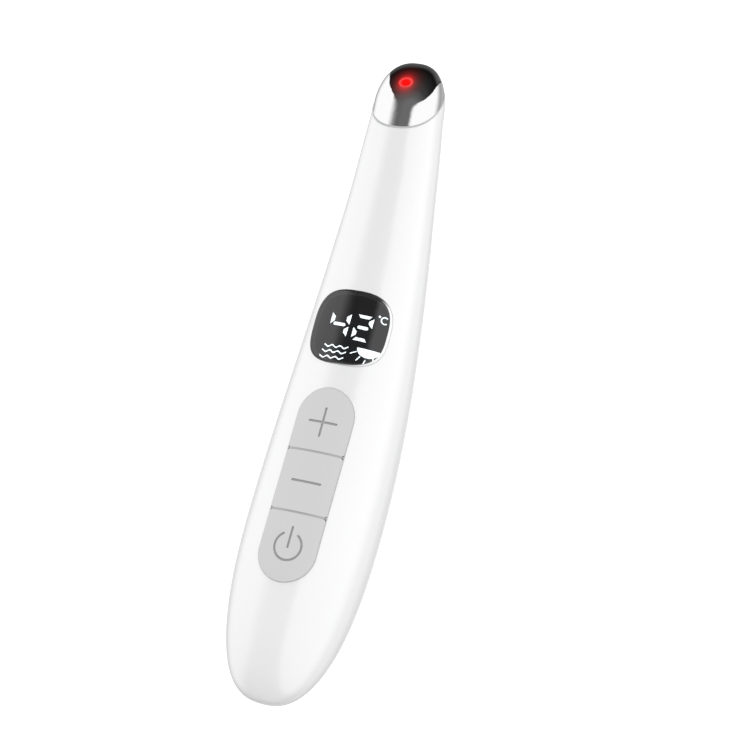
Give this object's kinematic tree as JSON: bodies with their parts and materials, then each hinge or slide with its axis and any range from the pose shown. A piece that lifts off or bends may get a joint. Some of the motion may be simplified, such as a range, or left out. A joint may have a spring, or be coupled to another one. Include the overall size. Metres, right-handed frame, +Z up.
{
  "type": "heated eye massage wand",
  "caption": "Slim white hand-held massage wand with a chromed heated head, red light window, small display and a pill of three push keys.",
  "frame": {"origin": "centre of the flat land on the back shell that the wand rests on", "axes": "+Z up, away from the surface it rests on and out of the keys; +Y from the handle's lower end towards the head; +X across"},
  "size_m": [0.032, 0.1569, 0.0291],
  "materials": {
    "shell_white": "glossy moulded white",
    "head_chrome": "polished plating",
    "seal_grey": "fine grey silicone",
    "window_red": "clear red",
    "lens_smoke": "smoked, glossy",
    "film_black": "black printed film",
    "display_white": "white lamp block",
    "key_grey": "satin light grey",
    "switch_black": "matt",
    "board_green": "solder mask",
    "chip_black": "matt",
    "screw_steel": "zinc plated",
    "battery_foil": "foil pouch",
    "foam_grey": "foam tape",
    "socket_steel": "stamped",
    "motor_steel": "drawn can",
    "sleeve_rubber": "matt",
    "film_amber": "polyimide",
    "bead_glass": "bead",
    "lamp_red": "lit lamp",
    "wire_red": "insulated wire",
    "cable_white": "insulated cable"
  },
  "bodies": {
    "wand": {"front_shell": "shell_white", "back_shell": "shell_white", "massage_head": "head_chrome", "head_seal": "seal_grey", "light_window": "window_red", "lamp_board": "board_green", "red_lamp": "lamp_red", "heating_film": "film_amber", "thermistor": "bead_glass", "display_lens": "lens_smoke", "display_film": "film_black", "display_block": "display_white", "main_board": "board_green", "control_chip": "chip_black", "charge_chip": "chip_black", "board_screws": "screw_steel", "shell_screws": "screw_steel", "battery": "battery_foil", "battery_pad": "foam_grey", "battery_leads": "wire_red", "charge_socket": "socket_steel", "socket_tongue": "chip_black", "socket_board": "board_green", "socket_screws": "screw_steel", "socket_leads": "wire_red", "vibration_motor": "motor_steel", "motor_sleeve": "sleeve_rubber", "motor_leads": "wire_red", "head_cable": "cable_white", "power_switch": "switch_black", "minus_switch": "switch_black", "plus_switch": "switch_black"},
    "power_button": {"power_key": "key_grey", "power_plunger": "switch_black"},
    "minus_button": {"minus_key": "key_grey", "minus_plunger": "switch_black"},
    "plus_button": {"plus_key": "key_grey", "plus_plunger": "switch_black"},
    "motor_rotor": {"motor_shaft": "motor_steel", "motor_weight": "motor_steel"}
  },
  "joints": [
    {"name": "power_press", "type": "slide", "parent": "wand", "child": "power_button", "axis": [0, -0.1406, -0.9901], "range_m": [0, 0.0003], "stiffness_N_per_m": 3000},
    {"name": "minus_press", "type": "slide", "parent": "wand", "child": "minus_button", "axis": [0, -0.1406, -0.9901], "range_m": [0, 0.0003], "stiffness_N_per_m": 3000},
    {"name": "plus_press", "type": "slide", "parent": "wand", "child": "plus_button", "axis": [0, -0.1406, -0.9901], "range_m": [0, 0.0003], "stiffness_N_per_m": 3000},
    {"name": "motor_spin", "type": "hinge", "parent": "wand", "child": "motor_rotor", "pos_m": [0, 0.03964, 0.0125], "axis": [0, 0.9979, 0.0649], "continuous": true}
  ]
}
